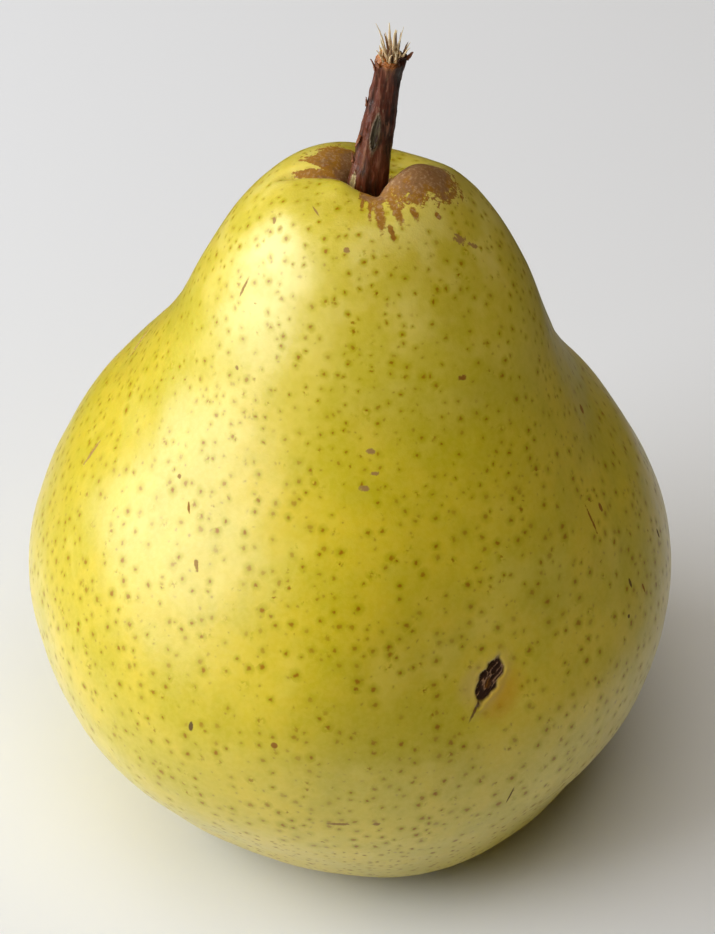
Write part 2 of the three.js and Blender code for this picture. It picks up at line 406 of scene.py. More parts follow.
# Bumps of the bark: share of the length, azimuth, rise, half length in shares, half width in degrees.
STALK_BUMPS = [
    (0.37, -170, 0.16, 0.03, 26),
    (0.52, 175, 0.10, 0.025, 22),
    (0.66, -60, 0.12, 0.03, 24),
    (0.80, 160, 0.08, 0.02, 20),
    (0.30, 20, 0.10, 0.04, 26),
    (0.93, -20, 0.10, 0.02, 30),
]

# Spurs of the torn rim: azimuth, how far up and out they stand, half width in degrees.
RIM_SPURS = [(-8, 0.5, 0.24, 15), (-150, 0.1, 0.06, 24), (-105, -0.4, 0.03, 20)]

# Rings of the ragged cup inside the rim: share of the way in to the middle, drop below the rim.
CUP_RINGS = [(0.10, -0.06), (0.24, 0.05), (0.34, 0.45), (0.45, 0.95), (0.65, 1.25), (0.85, 1.4)]

# The lesion on its front and the split low on its left: share, azimuth, half length in mm, half width in mm.
LESION = (0.64, -101, 2.6, 0.56)
BARK_SPLIT = (0.375, -145, 1.5, 0.42)


def stalk_surface(share, angle):
    """Points on the bark's surface before its roughness, and its outward directions."""
    radius = value_on(STALK_RADII, share)
    outward = np.stack([np.cos(angle), np.sin(angle), np.zeros_like(angle)], axis=-1)
    return stalk_line(share) + outward * radius[..., None], outward


def stalk_point(share, azimuth):
    angle = np.array([math.radians(azimuth)])
    return stalk_surface(np.array([share]), angle)[0][0]


def stalk_rise():
    return STALK_LEAN / np.linalg.norm(STALK_LEAN)


def almond(share, angle, spot):
    """How far into an almond-shaped spot of the bark each place is, from 0 at its edge to 1 in its middle."""
    middle, azimuth, half_length, half_width = spot
    lengthwise = (share - middle) * STALK_LENGTH
    sideways = turn_from(angle, azimuth) * value_on(STALK_RADII, share)
    width = half_width * np.maximum(1 - (lengthwise / half_length) ** 2, 1e-3)
    return np.clip(1 - np.abs(sideways) / width, 0, 1) * (np.abs(lengthwise) < half_length)


def round_bark(share, angle, stretch, breadth=1.0):
    """Places for noise on the bark; a small stretch draws the lumps out lengthwise."""
    lengthwise = share * STALK_LENGTH * stretch
    return np.stack([np.cos(angle) * breadth, np.sin(angle) * breadth, lengthwise], axis=-1)


def bark_height(share, angle):
    """How far the bark stands off the round stalk: ridges, wrinkles, knots, a lesion and a split."""
    broad = rough(round_bark(share, angle, 0.045), 0.75, 11)
    ridges = 1 - np.abs(rough(round_bark(share, angle, 0.045), 0.34, 12)) * 2.2
    fine = rough(round_bark(share, angle, 0.09), 0.13, 13)
    wrinkles = rough(round_bark(share, angle, 0.7, 0.8), 0.5, 14)
    height = 0.13 * broad + 0.13 * ridges + 0.045 * fine + 0.04 * wrinkles - 0.06
    for middle, azimuth, rise, half_length, half_width in STALK_BUMPS:
        turn = np.degrees(turn_from(angle, azimuth))
        height += rise * bell(np.hypot((share - middle) / half_length, turn / half_width), 0.7)
    lesion = almond(share, angle, LESION)
    wrinkled = rough(round_bark(share, angle, 0.03), 0.09, 15)
    height += 0.16 * smoothstep(lesion, 0, 0.15) - 0.26 * smoothstep(lesion, 0.12, 0.6)
    height += 0.10 * wrinkled * smoothstep(lesion, 0.1, 0.4)
    split = almond(share, angle, BARK_SPLIT)
    height += 0.10 * smoothstep(split, 0, 0.2) - 0.42 * smoothstep(split, 0.2, 0.7)
    return height


def torn_rim(angle):
    """The height above the stalk's end, and the outward reach, of the torn bark round it."""
    ring = np.stack([np.cos(angle), np.sin(angle), np.zeros_like(angle)], axis=-1)
    lift = 0.30 * rough(ring, 0.5, 21) + 0.28 * rough(ring, 0.16, 22) - 0.5
    flare = -0.55 + 0.12 * rough(ring, 0.4, 23)
    for azimuth, up, out, half_width in RIM_SPURS:
        turn = np.degrees(turn_from(angle, azimuth))
        lift += up * bell(turn, half_width)
        flare += out * bell(turn, half_width)
    return lift, flare


def torn_cup(rim):
    """Rings of broken wood inside the torn rim, down to the bottom of the cup."""
    middle = stalk_line(1.0)
    rings = []
    for inward, drop in CUP_RINGS:
        ring = middle + (rim - middle) * (1 - inward)
        ring[:, 2] = rim[:, 2] * (1 - inward) + middle[2] * inward - drop
        splinters = rough(ring * (1, 1, 0.3), 0.45, 31)
        ring[:, 2] += 0.35 * splinters * min(1, drop * 2)
        rings.append(ring)
    return np.array(rings)


def build_stalk():
    """The woody stalk: ridged bark up to a torn rim, and the ragged cup of broken wood inside it."""
    share = np.linspace(0, 1, STALK_ROWS)[:, None] + np.zeros((1, STALK_COLUMNS))
    angle = np.linspace(0, 2 * np.pi, STALK_COLUMNS, endpoint=False)[None, :] + np.zeros((STALK_ROWS, 1))
    points, outward = stalk_surface(share, angle)
    lift, flare = torn_rim(angle)
    torn = smoothstep(share, STALK_TORN_FROM, 1.0)
    points += outward * (bark_height(share, angle) + torn * flare)[..., None]
    points[..., 2] += torn * lift
    rings = np.concatenate([points, torn_cup(points[-1])])
    top = rings[-1].mean(0) - np.array((0, 0, 0.1))
    points, faces = closed_tube(rings, rings[0].mean(0), top)
    return new_piece("pear_stalk", points, faces)


def taper_tube(path, radii, sides, seed):
    """A closed tube of uneven thickness along a path."""
    path = np.asarray(path)
    forward = np.gradient(path, axis=0)
    forward /= np.linalg.norm(forward, axis=1, keepdims=True)
    helper = np.array((0.31, 0.87, 0.12))
    side = np.cross(forward, helper)
    side /= np.linalg.norm(side, axis=1, keepdims=True)
    other = np.cross(forward, side)
    turn = np.linspace(0, 2 * np.pi, sides, endpoint=False)
    wobble = 1 + 0.22 * np.random.default_rng(seed).uniform(-1, 1, (len(path), sides))
    circle = side[:, None, :] * np.cos(turn)[None, :, None] + other[:, None, :] * np.sin(turn)[None, :, None]
    rings = path[:, None, :] + circle * (np.asarray(radii)[:, None] * wobble)[..., None]
    return closed_tube(rings, path[0], path[-1])


def joined_mesh(parts):
    """Several closed meshes as one list of points and one of faces."""
    points = []
    faces = []
    first = 0
    for part_points, part_faces in parts:
        points.append(part_points)
        faces += [tuple(first + corner for corner in face) for face in part_faces]
        first += len(part_points)
    return np.concatenate(points), faces


# Fibres pulled out of the break: foot across and back, lean across, back and up, length, thickness, end curl.
CREAM_FIBRES = [
    ((-0.25, 0.1), (-0.26, 0.0, 1.0), 4.0, 0.15, (-0.25, 0.0, 0.1)),
    ((-0.45, -0.4), (-0.18, -0.1, 1.0), 2.4, 0.19, (-0.2, 0.0, 0.0)),
    ((-0.10, 0.2), (-0.04, 0.1, 1.0), 3.5, 0.28, (-0.1, 0.1, 0.0)),
    ((0.08, -0.1), (0.02, 0.0, 1.0), 2.6, 0.28, (0.1, 0.0, 0.0)),
    ((0.28, 0.1), (0.0, 0.1, 1.0), 2.8, 0.36, (0.15, 0.0, 0.0)),
    ((0.4, 0.0), (0.12, 0.0, 1.0), 3.3, 0.12, (0.35, 0.0, 0.3)),
    ((0.28, 0.6), (0.05, 0.2, 1.0), 2.2, 0.20, (0.1, 0.1, 0.0)),
    ((-0.30, 0.5), (-0.10, 0.2, 1.0), 2.0, 0.19, (-0.1, 0.1, 0.0)),
    ((-0.75, -0.7), (-0.25, -0.3, 1.0), 1.9, 0.16, (-0.3, -0.1, -0.2)),
    ((-0.20, -0.9), (-0.10, -0.3, 1.0), 1.6, 0.18, (0.5, -0.2, -0.5)),
    ((0.35, -0.9), (0.10, -0.3, 1.0), 1.9, 0.17, (-0.5, -0.1, -0.3)),
    ((0.85, -0.5), (0.20, -0.1, 1.0), 1.7, 0.16, (0.6, 0.0, -0.5)),
    ((1.05, 0.2), (0.25, 0.1, 1.0), 1.5, 0.15, (0.3, 0.0, -0.3)),
    ((-1.05, -0.3), (-0.2, -0.1, 1.0), 1.7, 0.13, (0.3, 0.0, -0.2)),
]
DARK_FIBRES = [
    ((-0.22, 0.0), (-0.10, 0.0, 1.0), 2.6, 0.19, (-0.3, 0.0, 0.0)),
    ((0.32, 0.0), (0.02, 0.1, 1.0), 2.5, 0.24, (0.05, 0.0, 0.0)),
    ((0.95, -0.1), (0.22, 0.0, 1.0), 1.6, 0.17, (0.2, 0.0, 0.0)),
    ((-0.05, -0.5), (-0.05, -0.1, 1.0), 1.3, 0.20, (0.1, 0.0, 0.0)),
    ((0.60, 0.7), (0.10, 0.2, 1.0), 1.9, 0.16, (0.1, 0.1, 0.0)),
]
FIBRE_FOOT_DROP = 1.7
SHORT_FIBRES = 34


def fibre(foot, lean, length, thickness, curl, seed):
    share = np.linspace(0, 1, 15)[:, None]
    start = stalk_line(1.0) + np.array((foot[0], foot[1], -FIBRE_FOOT_DROP))
    lean = np.array(lean) / np.linalg.norm(lean)
    chance = np.random.default_rng(seed)
    waves = chance.uniform(-1, 1, 3) * 0.05 * length
    wavy = np.sin(share * chance.uniform(5, 8) + chance.uniform(0, 6)) * waves
    path = start + lean * share * (length + FIBRE_FOOT_DROP) + wavy * share * 0.6
    path += np.array(curl) * share**3
    radii = thickness * (1 - 0.82 * share[:, 0] ** 2.2)
    return taper_tube(path, radii, 7, seed)


def short_fibres(count):
    """Stubble of broken wood round the tall fibres, as (foot, lean, length, thickness, curl)."""
    chance = np.random.default_rng(7)
    rows = []
    for _ in range(count):
        angle = chance.uniform(0, 2 * math.pi)
        distance = 1.15 * math.sqrt(chance.uniform(0.05, 1))
        across = distance * math.cos(angle)
        back = distance * math.sin(angle)
        lean = (0.14 * across + chance.normal(0, 0.1), 0.14 * back + chance.normal(0, 0.1), 1.0)
        curl = (chance.normal(0, 0.25), chance.normal(0, 0.25), -0.2)
        rows.append(((across, back), lean, chance.uniform(0.2, 1.1), chance.uniform(0.09, 0.19), curl))
    return rows


def build_fibres(name, rows, seed):
    parts = [fibre(*row, seed + number) for number, row in enumerate(rows)]
    points, faces = joined_mesh(parts)
    return new_piece(name, points, faces)


# Flakes of bark that peel off: share, azimuth, length, width, how far the end stands off, way up.
BARK_FLAKES = [
    (0.925, -168, 1.5, 0.75, 0.35, 1),
    (0.955, -140, 1.1, 0.6, 0.3, 1),
    (0.46, -172, 1.3, 0.5, 0.28, 1),
    (0.60, -160, 1.5, 0.45, 0.22, -1),
    (0.74, -175, 1.2, 0.4, 0.22, 1),
    (0.83, 30, 1.2, 0.5, 0.25, 1),
    (0.50, 80, 1.6, 0.5, 0.3, -1),
    (0.965, 5, 0.9, 0.7, 0.2, 1),
]
FLAKE_THICKNESS = 0.09
FLAKE_ROWS = 12
FLAKE_COLUMNS = 6


def bark_flake(share, azimuth, length, width, curl, way):
    """A thin pointed strip that lies on the bark at its root and curls off it at its end."""
    along = np.linspace(0, 1, FLAKE_ROWS)[:, None]
    across = np.linspace(-1, 1, FLAKE_COLUMNS)[None, :]
    place = share + way * along * length / STALK_LENGTH + 0 * across
    half = width / 2 * np.sqrt(np.clip(1 - along**2.4, 0.02, 1))
    angle = math.radians(azimuth) + across * half / value_on(STALK_RADII, share)
    points, outward = stalk_surface(np.minimum(place, 1.0), angle)
    points[..., 2] += np.maximum(place - 1.0, 0) * STALK_LENGTH
    off = 0.12 + curl * along**2 + 0.04 * across**2 + 0.03 * np.sin(along * 9 + across * 3)
    outer = points + outward * (off + FLAKE_THICKNESS)[..., None]
    inner = points + outward * (off - 0.25 * (1 - along) ** 2)[..., None]
    loop = np.concatenate([outer, inner[:, ::-1]], axis=1)
    return closed_tube(loop, loop[0].mean(0), loop[-1].mean(0))


def build_flakes():
    points, faces = joined_mesh([bark_flake(*row) for row in BARK_FLAKES])
    return new_piece("pear_stalk_flakes", points, faces)


# ------------------------------------------------------------------ calyx

CALYX_CENTRE = (2.2, 0.0)
SEPAL_ROWS = 34
SEPAL_COLUMNS = 18
SEPAL_HALF_WIDTH = 1.65
STAMEN_COUNT = 22
STAMEN_TURN = 2.4  # radians from one stamen to the next


def sepal(box, seed):
    """A dry, curled sepal that fills its box: a pointed leaf with a midrib, a wavy edge and a rolled tip."""
    low = np.array(box[0]) / MM
    high = np.array(box[1]) / MM
    middle = (low + high) / 2
    outward = middle[:2] - np.array(CALYX_CENTRE)
    reach = np.linalg.norm(outward)
    outward = np.append(outward / reach, 0)
    beside = np.array((-outward[1], outward[0], 0))
    along = np.linspace(0, 1, SEPAL_ROWS)[:, None]
    across = np.linspace(-1, 1, SEPAL_COLUMNS)[None, :]
    corners = [np.array((x, y)) for x in (low[0], high[0]) for y in (low[1], high[1])]
    ends = [float((corner - CALYX_CENTRE) @ outward[:2]) for corner in corners]
    start = max(min(ends), 0.6)
    length = (max(ends) - start) * 0.86
    width = SEPAL_HALF_WIDTH * np.sqrt(np.clip(1 - along**1.7, 0, 1)) * (0.75 + along * (1 - along))
    ripple = 0.12 * np.sin(along * 13 + seed * 2.1 + across * 1.5) * np.abs(across)
    top = high[2] - 0.35
    drop = (high[2] - low[2] - 0.6) * (0.25 + 0.6 * along**1.6 - 0.35 * along**5)
    veins = 0.05 * np.cos(across * 11) * (1 - along) + 0.14 * bell(across, 0.16) * (1 - 0.7 * along)
    cup = 0.55 * across**2 * (0.4 + along)
    height = top - drop + cup + ripple - veins
    grid = np.broadcast_arrays(along, across, np.zeros((1, 1)))
    off = start + length * along + 0.1 * rough(np.stack(grid, -1), 0.2, seed)
    sideways = width * across + 0.25 * np.sin(along * 5 + seed)
    base = np.append(CALYX_CENTRE, 0)
    sheet = base + outward * off[..., None] + beside * sideways[..., None]
    sheet[..., 2] = height
    thick = 0.22 * (1 - 0.5 * along) + 0 * across
    under = sheet.copy()
    under[..., 2] -= thick
    loop = np.concatenate([sheet, under[:, ::-1]], axis=1)
    return closed_tube(loop, loop[0].mean(0), loop[-1].mean(0))


def build_stamens():
    """A tuft of dried stamens hanging in the basin: thin bent threads, each with a shrunken head."""
    low, high = (np.array(corner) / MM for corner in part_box("stamens"))
    centre = (low + high) / 2
    half = (high - low) / 2
    chance = np.random.default_rng(19)
    parts = []
    for number in range(STAMEN_COUNT):
        angle = number * STAMEN_TURN
        spread = math.sqrt((number + 0.5) / STAMEN_COUNT)
        foot = np.array((centre[0], centre[1], high[2] - 0.05))
        foot[:2] += 0.45 * half[:2] * spread * np.array((math.cos(angle), math.sin(angle)))
        tip = np.array((centre[0], centre[1], low[2] + chance.uniform(0.1, 0.5) * half[2]))
        tip[:2] += 0.85 * half[:2] * spread * np.array((math.cos(angle + 0.3), math.sin(angle + 0.3)))
        share = np.linspace(0, 1, 11)[:, None]
        bend = chance.uniform(-0.3, 0.3, 3) * np.sin(share * math.pi)
        path = foot + (tip - foot) * share + bend
        radii = 0.075 + 0.11 * bell(share[:, 0] - 0.93, 0.07)
        radii[-1] = 0.04
        parts.append(taper_tube(path, radii, 8, 100 + number))
    points, faces = joined_mesh(parts)
    return new_piece("pear_stamens", points, faces)


def build_sepals():
    """Each sepal as its own piece; gives (piece, CAD node) pairs."""
    pieces = []
    for number in range(1, 6):
        points, faces = sepal(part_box(f"sepal_{number}"), number)
        pieces.append((new_piece(f"pear_sepal_{number}", points, faces), f"sepal_{number}"))
    return pieces


# ------------------------------------------------------------------ shader tools


class Shader:
    """Adds nodes to one tree. Each input may be a socket or a plain value."""

    def __init__(self, tree):
        self.tree = tree

    def add(self, kind, **settings):
        node = self.tree.nodes.new(kind)
        for name, value in settings.items():
            setattr(node, name, value)
        return node

    def put(self, socket, value):
        if isinstance(value, bpy.types.NodeSocket):
            self.tree.links.new(value, socket)
        elif value is not None:
            socket.default_value = value

    def math(self, operation, a, b=None, c=None):
        node = self.add("ShaderNodeMath", operation=operation)
        for socket, value in zip(node.inputs, (a, b, c)):
            self.put(socket, value)
        return node.outputs[0]

    def vector(self, operation, a, b=None, scale=None):
        node = self.add("ShaderNodeVectorMath", operation=operation)
        self.put(node.inputs[0], a)
        self.put(node.inputs[1], b)
        if scale is not None:
            self.put(node.inputs["Scale"], scale)
        scalar = operation in ("DOT_PRODUCT", "LENGTH", "DISTANCE")
        return node.outputs["Value" if scalar else "Vector"]

    def fade(self, value, low, high, start=0.0, end=1.0):
        """start at or below low, end at or above high, smooth between them."""
        node = self.add("ShaderNodeMapRange", interpolation_type="SMOOTHSTEP")
        for socket, number in zip(node.inputs, (value, low, high, start, end)):
            self.put(socket, number)
        return node.outputs[0]

    def mix(self, share, a, b):
        node = self.add("ShaderNodeMix", data_type="RGBA")
        self.put(node.inputs[0], share)
        self.put(node.inputs[6], a)
        self.put(node.inputs[7], b)
        return node.outputs[2]

    def mix_value(self, share, a, b):
        node = self.add("ShaderNodeMix", data_type="FLOAT")
        self.put(node.inputs[0], share)
        self.put(node.inputs[2], a)
        self.put(node.inputs[3], b)
        return node.outputs[0]

    def square(self, value):
        return self.math("MULTIPLY", value, value)

    def parts(self, vector):
        node = self.add("ShaderNodeSeparateXYZ")
        self.put(node.inputs[0], vector)
        return node.outputs

    def joined(self, x, y, z):
        node = self.add("ShaderNodeCombineXYZ")
        for socket, value in zip(node.inputs, (x, y, z)):
            self.put(socket, value)
        return node.outputs[0]

    def ramp(self, share, stops):
        """A value that runs through (share, value) stops in straight lines."""
        node = self.add("ShaderNodeValToRGB")
        elements = node.color_ramp.elements
        while len(elements) < len(stops):
            elements.new(0.5)
        for element, (place, value) in zip(elements, stops):
            element.position = place
            element.color = (value, value, value, 1)
        self.put(node.inputs[0], share)
        return node.outputs[0]

    def bump(self, height):
        """A normal from a height in millimetres."""
        node = self.add("ShaderNodeBump")
        node.inputs["Distance"].default_value = MM
        self.put(node.inputs["Strength"], 1.0)
        self.put(node.inputs["Height"], height)
        return node.outputs[0]

    def noise(self, place, scale, detail=2.0, roughness=0.5):
        node = self.add("ShaderNodeTexNoise")
        self.put(node.inputs["Vector"], place)
        self.put(node.inputs["Scale"], scale)
        self.put(node.inputs["Detail"], detail)
        self.put(node.inputs["Roughness"], roughness)
        return node.outputs[0]

    def group(self, tree, **values):
        node = self.add("ShaderNodeGroup", node_tree=tree)
        for name, value in values.items():
            self.put(node.inputs[name], value)
        return node.outputs

    def millimetres(self):
        place = self.add("ShaderNodeTexCoord").outputs["Object"]
        return self.vector("SCALE", place, scale=1000.0)


FLOAT = "NodeSocketFloat"
VECTOR = "NodeSocketVector"


def new_group(name, inputs, outputs):
    """An empty node group with the given sockets; returns its tools, its input node and its output node."""
    tree = bpy.data.node_groups.new(name, "ShaderNodeTree")
    for label, (kind, default) in inputs.items():
        socket = tree.interface.new_socket(label, in_out="INPUT", socket_type=kind)
        if default is not None:
            socket.default_value = default
    for label, kind in outputs.items():
        tree.interface.new_socket(label, in_out="OUTPUT", socket_type=kind)
    shader = Shader(tree)
    return shader, shader.add("NodeGroupInput").outputs, shader.add("NodeGroupOutput").inputs


def new_material(name):
    material = bpy.data.materials.new(name)
    material.use_nodes = True
    shader = Shader(material.node_tree)
    return material, shader, material.node_tree.nodes["Principled BSDF"].inputs


def pore_group():
    """Round spots scattered over a skin between two heights: an uneven core in a wider halo."""
    shader, given, out = new_group(
        "Skin pores",
        {
            "Spacing": (FLOAT, 2.4),
            "Core": (FLOAT, 0.35),
            "Halo": (FLOAT, 1.0),
            "Share": (FLOAT, 0.9),
            "Lowest": (FLOAT, 0.0),
            "Highest": (FLOAT, 100.0),
            "Shift": (VECTOR, None),
        },
        {"Cores": FLOAT, "Halos": FLOAT},
    )
    place = shader.millimetres()
    wobble = shader.add("ShaderNodeTexNoise")
    shader.put(wobble.inputs["Vector"], place)
    shader.put(wobble.inputs["Scale"], 1.6)
    wobble_vector = shader.vector("SUBTRACT", wobble.outputs["Color"], (0.5, 0.5, 0.5))
    place = shader.vector("ADD", place, shader.vector("SCALE", wobble_vector, scale=0.6))
    cells = shader.vector("SCALE", place, scale=shader.math("DIVIDE", 1.0, given["Spacing"]))
    cells = shader.vector("ADD", cells, given["Shift"])
    voronoi = shader.add("ShaderNodeTexVoronoi")
    shader.put(voronoi.inputs["Vector"], cells)
    shader.put(voronoi.inputs["Scale"], 1.0)
    shader.put(voronoi.inputs["Randomness"], 0.82)
    centre = voronoi.outputs["Position"]
    off = shader.vector("SUBTRACT", cells, centre)
    normal = shader.add("ShaderNodeNewGeometry").outputs["Normal"]
    depth = shader.vector("DOT_PRODUCT", off, normal)
    along_skin = shader.vector("SUBTRACT", off, shader.vector("SCALE", normal, scale=depth))
    beside = shader.vector("LENGTH", along_skin)
    distance = shader.math("MULTIPLY", beside, given["Spacing"])
    near = shader.fade(shader.math("ABSOLUTE", depth), 0.30, 0.36, 1.0, 0.0)
    level = shader.vector("SCALE", shader.vector("SUBTRACT", centre, given["Shift"]), scale=given["Spacing"])
    level = shader.parts(level)[2]
    above = shader.math("GREATER_THAN", level, given["Lowest"])
    below = shader.math("LESS_THAN", level, given["Highest"])
    chance = shader.add("ShaderNodeSeparateColor")
    shader.put(chance.inputs[0], voronoi.outputs["Color"])
    size = shader.math("MULTIPLY_ADD", chance.outputs[0], 0.6, 0.62)
    strength = shader.math("MULTIPLY_ADD", chance.outputs[1], 0.62, 0.36)
    there = shader.math("LESS_THAN", chance.outputs[2], given["Share"])
    there = shader.math("MULTIPLY", shader.math("MULTIPLY", there, near), strength)
    there = shader.math("MULTIPLY", there, shader.math("MULTIPLY", above, below))
    core = shader.math("MULTIPLY", given["Core"], size)
    core_edge = shader.math("MULTIPLY", core, 0.4)
    cores = shader.fade(distance, core_edge, shader.math("MULTIPLY", core, 1.4), 1.0, 0.0)
    halo = shader.math("MULTIPLY", given["Halo"], size)
    halos = shader.fade(distance, shader.math("MULTIPLY", halo, 0.1), halo, 1.0, 0.0)
    shader.put(out["Cores"], shader.math("MULTIPLY", cores, there))
    shader.put(out["Halos"], shader.math("MULTIPLY", halos, there))
    return shader.tree


def mark_group():
    """One long or round mark on a surface, with a ragged and a soft edge."""
    shader, given, out = new_group(
        "Surface mark",
        {
            "Centre": (VECTOR, None),
            "Direction": (VECTOR, None),
            "Length": (FLOAT, 1.0),
            "Width": (FLOAT, 0.5),
            "Ragged": (FLOAT, 0.5),
            "Soft": (FLOAT, 0.2),
            "Noise": (FLOAT, 0.5),
        },
        {"Mask": FLOAT},
    )
    place = shader.millimetres()
    off = shader.vector("SUBTRACT", place, given["Centre"])
    along = shader.vector("DOT_PRODUCT", off, given["Direction"])
    beside = shader.vector("SUBTRACT", off, shader.vector("SCALE", given["Direction"], scale=along))
    across = shader.math("DIVIDE", shader.vector("LENGTH", beside), given["Width"])
    along = shader.math("DIVIDE", along, given["Length"])
    reach = shader.math("POWER", shader.math("ADD", shader.square(along), shader.square(across)), 0.5)
    ragged = shader.math("SUBTRACT", given["Noise"], 0.5)
    reach = shader.math("MULTIPLY_ADD", ragged, shader.math("MULTIPLY", given["Ragged"], 3.0), reach)
    low = shader.math("SUBTRACT", 1.0, given["Soft"])
    high = shader.math("ADD", 1.0, given["Soft"])
    shader.put(out["Mask"], shader.fade(reach, low, high, 1.0, 0.0))
    return shader.tree


def grain_group():
    """Even noise of a chosen size between 0 and 1, stretched along the upright direction where asked."""
    shader, given, out = new_group(
        "Grain",
        {"Size": (FLOAT, 1.0), "Stretch": (FLOAT, 1.0), "Detail": (FLOAT, 3.0), "Shift": (VECTOR, None)},
        {"Value": FLOAT},
    )
    x, y, z = shader.parts(shader.millimetres())
    upright = shader.math("DIVIDE", z, given["Stretch"])
    share = shader.math("DIVIDE", 1.0, given["Size"])
    place = shader.vector("SCALE", shader.joined(x, y, upright), scale=share)
    place = shader.vector("ADD", place, given["Shift"])
    shader.put(out["Value"], shader.fade(shader.noise(place, 1.0, given["Detail"], 0.6), 0.25, 0.75))
    return shader.tree


PORES = pore_group()
MARK = mark_group()
GRAIN = grain_group()

# ------------------------------------------------------------------ the skin's material

SKIN_YELLOW = (0.72, 0.55, 0.018, 1)
SKIN_GREEN = (0.58, 0.475, 0.005, 1)
SKIN_PALE = (0.84, 0.70, 0.12, 1)
# Paler, creamier tone towards the top: partly the skin's waxy bloom, partly a painted sheen where light falls
# from above.
SKIN_BLOOM_AND_SHEEN = (0.84, 0.75, 0.24, 1)
BLOOM_AND_SHEEN_LOWEST = 62.0
BLOOM_AND_SHEEN_FULL = 94.0
PORE_HALO = (0.49, 0.40, 0.001, 1)
PORE_CORE = (0.37, 0.15, 0.002, 1)

# Pores by height: wide and far apart on the belly, small and close on the neck and round the foot.
PORE_BANDS = [
    dict(Spacing=1.9, Core=0.28, Halo=1.05, Share=0.95, Lowest=17.0, Highest=62.0, Shift=(3.1, 5.2, 1.7)),
    dict(Spacing=1.62, Core=0.20, Halo=0.82, Share=0.93, Lowest=62.0, Highest=100.0, Shift=(7.4, 1.9, 6.3)),
    dict(Spacing=1.3, Core=0.25, Halo=0.62, Share=0.93, Lowest=-5.0, Highest=17.0, Shift=(2.6, 8.8, 4.1)),
]
FAINT_PORES = dict(Spacing=1.5, Core=0.17, Halo=0.55, Share=0.4, Shift=(13.7, 2.2, 8.3))

RUSSET_MAUVE = (0.27, 0.120, 0.056, 1)
RUSSET_ORANGE = (0.35, 0.14, 0.010, 1)
# Dark of the russet's cork specks, also used as painted shade deep inside the russet beside the stalk.
RUSSET_DARK_AND_SHADE = (0.15, 0.062, 0.028, 1)
RUSSET_FLECK = (0.50, 0.31, 0.18, 1)
SCAR_DARK = (0.048, 0.020, 0.009, 1)
SCAR_RIDGES = (0.33, 0.19, 0.11, 1)
SCAR_HEART = (0.26, 0.10, 0.012, 1)
SCAR_TAIL = (0.13, 0.05, 0.015, 1)

# Bruised skin round the scar: offset from its middle, half length, half width, colour, strength.
SCAR_BRUISES = [
    ((2.0, -0.9, -1.6), 3.4, 2.2, (0.66, 0.36, 0.006, 1), 0.75),
    ((0.0, 0.0, 0.0), 3.9, 1.9, (0.62, 0.44, 0.10, 1), 0.7),
    ((-2.2, -0.6, 0.4), 2.4, 1.4, (0.62, 0.46, 0.12, 1), 0.55),
]

# How far the russet reaches from the pit's centre, seen from above: azimuth, distance.
RUSSET_REACH = [
    (-180, 4.6),
    (-172, 3.2),
    (-112, 2.8),
    (-100, 5.6),
    (-84, 6.9),
    (-62, 7.2),
    (-48, 8.4),
    (-20, 11.0),
    (0, 10.4),
    (25, 9.2),
    (42, 4.0),
    (80, 4.2),
    (98, 6.6),
    (114, 8.6),
    (140, 8.6),
    (157, 9.2),
    (162, 5.6),
    (168, 10.2),
    (174, 4.8),
    (180, 4.6),
]
RUSSET_FARTHEST = 12.0
CROWN_LOWEST = 78.0

# Streaks of russet that run down from the crown: azimuth about the pit, from and to its centre, half width.
RUSSET_STREAKS = [
    (-67, 5.5, 9.8, 0.55),
    (-81, 5.5, 10.2, 0.6),
    (-89, 5.0, 8.9, 0.3),
    (-97, 4.5, 7.4, 0.25),
    (-75, 9.6, 11.6, 0.3),
    (-41, 10.2, 11.0, 0.34),
    (-55, 8.4, 9.9, 0.4),
]

